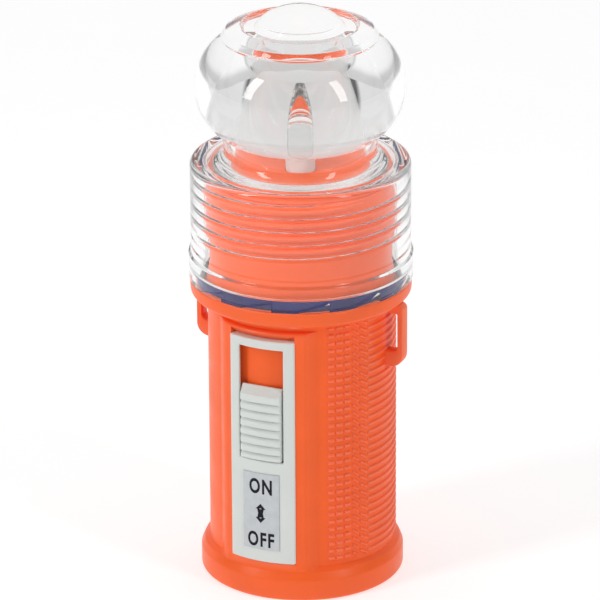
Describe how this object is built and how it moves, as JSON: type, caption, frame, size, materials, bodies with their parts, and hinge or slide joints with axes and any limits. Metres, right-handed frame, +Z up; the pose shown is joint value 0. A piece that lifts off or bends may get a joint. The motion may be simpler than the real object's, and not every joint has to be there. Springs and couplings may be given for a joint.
{
  "type": "led safety flare",
  "caption": "Orange barrel-shaped LED safety light with a clear screw-on lens, magnetic slide switch and two side strap loops.",
  "frame": {"origin": "centre of the foot's underside", "axes": "+Z up along the barrel to the lens; the switch faces -Y; the strap loops are at +X and -X"},
  "size_m": [0.0466, 0.0462, 0.1226],
  "materials": {
    "orange_plastic": "moulded, light sheen",
    "clear_plastic": "clear, polished",
    "navy_rubber": "matt",
    "white_plastic": "moulded",
    "magnet": "nickel plated",
    "spring_steel": "rolled strip",
    "label_silver": "silver film",
    "pale_plastic": "moulded",
    "led_epoxy": "clear, polished",
    "plated_steel": "silver plated",
    "led_die": "phosphor coated",
    "board_green": "solder mask",
    "black_plastic": "moulded",
    "ferrite": "sintered",
    "can_aluminium": "drawn",
    "ceramic_black": "glazed",
    "screw_steel": "zinc plated",
    "reed_glass": "drawn tube",
    "wire_insulation": "extruded",
    "contact_brass": "rolled strip",
    "can_steel": "nickel plated",
    "cell_core": "pressed powder",
    "jacket_film": "shrink film",
    "seal_nylon": "moulded",
    "foam": "closed-cell foam"
  },
  "bodies": {
    "body": {"body_shell": "orange_plastic", "switch_bezel": "white_plastic", "switch_label": "label_silver", "lamp_deck": "orange_plastic", "lamp_post": "pale_plastic", "led_lens": "led_epoxy", "led_leads": "plated_steel", "led_die": "led_die", "circuit_board": "board_green", "driver_chip": "black_plastic", "driver_inductor": "ferrite", "driver_capacitor": "can_aluminium", "chip_resistors": "ceramic_black", "deck_screw_a": "screw_steel", "deck_screw_b": "screw_steel", "deck_screw_c": "screw_steel", "reed_glass": "reed_glass", "reed_leads": "plated_steel", "switch_wires": "wire_insulation", "positive_contact": "contact_brass", "negative_spring": "contact_brass", "negative_plate": "contact_brass", "negative_strip": "contact_brass", "battery_can": "can_steel", "battery_core": "cell_core", "battery_jacket": "jacket_film", "battery_seal": "seal_nylon", "battery_cap": "can_steel", "cell_pad": "foam"},
    "seal": {"seal_ring": "navy_rubber"},
    "cap": {"lens_cap": "clear_plastic"},
    "switch": {"slide_knob": "white_plastic", "slide_magnet": "magnet", "detent_spring": "spring_steel"}
  },
  "joints": [
    {"name": "cap_rise", "type": "slide", "parent": "body", "child": "seal", "axis": [0, 0, 1], "range_m": [0, 0.01303]},
    {"name": "cap_turn", "type": "hinge", "parent": "seal", "child": "cap", "pos_m": [0, 0, 0.0665], "axis": [0, 0, 1], "range_deg": [0, 1620]},
    {"name": "switch_slide", "type": "slide", "parent": "body", "child": "switch", "axis": [0, 0, 1], "range_m": [0, 0.0083]}
  ],
  "couplings": [
    {"joint": "cap_rise", "follows": "cap_turn", "m_per_rad": 0.00045359}
  ]
}
